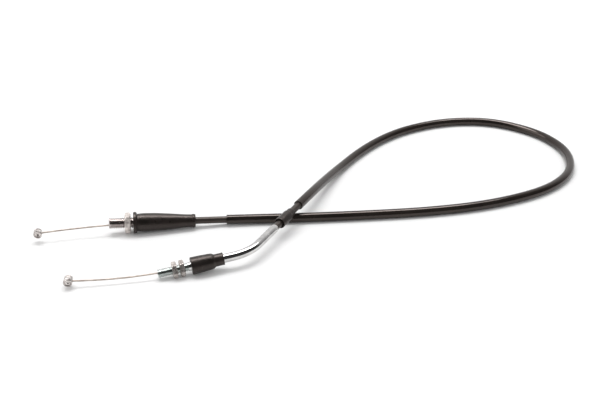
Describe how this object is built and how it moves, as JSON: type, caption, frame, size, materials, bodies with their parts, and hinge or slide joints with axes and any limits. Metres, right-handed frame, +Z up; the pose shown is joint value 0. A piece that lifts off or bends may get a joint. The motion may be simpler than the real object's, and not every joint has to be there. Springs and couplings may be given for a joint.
{
  "type": "motorcycle throttle cable",
  "caption": "Motorcycle throttle cable in an open loop: swivelling threaded ferrule and long rubber boot at one end, bent threaded guide pipe at the other, barrel nipples on the inner wire.",
  "frame": {"origin": "on the surface that the cable lies on, under the middle of the box round its two end fittings", "axes": "+X along the axis of the ferrule end, from its free end into the cable; +Y towards the far side of the loop; +Z up"},
  "size_m": [0.4352, 0.2241, 0.0163],
  "materials": {
    "sleeve_vinyl": "gloss",
    "jacket_plastic": "satin",
    "coil_steel": "satin",
    "liner_nylon": "satin",
    "wire_steel": "stranded",
    "nipple_zinc": "rough cast",
    "solder": "satin",
    "ferrule_nickel": "bright plated",
    "cap_steel": "satin",
    "nut_zinc": "zinc plated",
    "boot_rubber": "matte",
    "pipe_chrome": "polished"
  },
  "bodies": {
    "housing": {"outer_sleeve": "sleeve_vinyl", "conduit_jacket": "jacket_plastic", "conduit_coil": "coil_steel", "conduit_liner": "liner_nylon", "inner_wire_core": "wire_steel", "conduit_cap_a": "cap_steel", "guide_pipe": "pipe_chrome"},
    "ferrule": {"ferrule_a": "ferrule_nickel"},
    "lock_nut": {"lock_nut_a": "nut_zinc"},
    "boot_a": {"boot_a": "boot_rubber"},
    "wire_a": {"wire_a": "wire_steel", "nipple_a": "nipple_zinc", "solder_a": "solder"},
    "wire_b": {"wire_b": "wire_steel", "nipple_b": "nipple_zinc", "solder_b": "solder"},
    "nut_outer": {"nut_b_outer": "nut_zinc"},
    "nut_inner": {"nut_b_inner": "nut_zinc"},
    "boot_b": {"boot_b": "boot_rubber"},
    "dust_cap": {"dust_cap": "boot_rubber"}
  },
  "joints": [
    {"name": "wire_a_pull", "type": "hinge", "parent": "housing", "child": "wire_a", "pos_m": [-0.02673, -0.5261, -0.65711], "axis": [0.0336, -0.766, 0.6419], "range_deg": [-3.04, 3.58], "deforming": ["wire_a"]},
    {"name": "wire_b_pull", "type": "hinge", "parent": "housing", "child": "wire_b", "pos_m": [-0.03718, 0.20581, 0.23075], "axis": [-0.0111, 0.6855, -0.728], "range_deg": [-9.39, 7.97], "deforming": ["wire_b"]},
    {"name": "ferrule_swivel", "type": "hinge", "parent": "housing", "child": "ferrule", "pos_m": [-0.0399, 0.0312, 0.00865], "axis": [-0.9986, 0, 0.0523], "continuous": true},
    {"name": "lock_nut_travel", "type": "slide", "parent": "ferrule", "child": "lock_nut", "axis": [0.9986, 0, -0.0523], "range_m": [-0.0109, 0.0017]},
    {"name": "boot_a_slide", "type": "slide", "parent": "housing", "child": "boot_a", "axis": [0.9986, 0, -0.0523], "range_m": [0, 0.017]},
    {"name": "nut_outer_travel", "type": "slide", "parent": "housing", "child": "nut_outer", "axis": [0.9884, 0.1179, 0.0958], "range_m": [-0.0094, 0.0007]},
    {"name": "nut_inner_travel", "type": "slide", "parent": "housing", "child": "nut_inner", "axis": [0.9884, 0.1179, 0.0958], "range_m": [-0.0007, 0.0043]},
    {"name": "boot_b_slide", "type": "slide", "parent": "housing", "child": "boot_b", "axis": [0.9884, 0.1179, 0.0958], "range_m": [0, 0.006]},
    {"name": "dust_cap_slide", "type": "slide", "parent": "housing", "child": "dust_cap", "axis": [0.5994, 0.7995, 0.0388], "range_m": [-0.016, 0.006]}
  ],
  "couplings": [
    {"joint": "wire_b_pull", "follows": "wire_a_pull", "ratio": -2.6193}
  ]
}
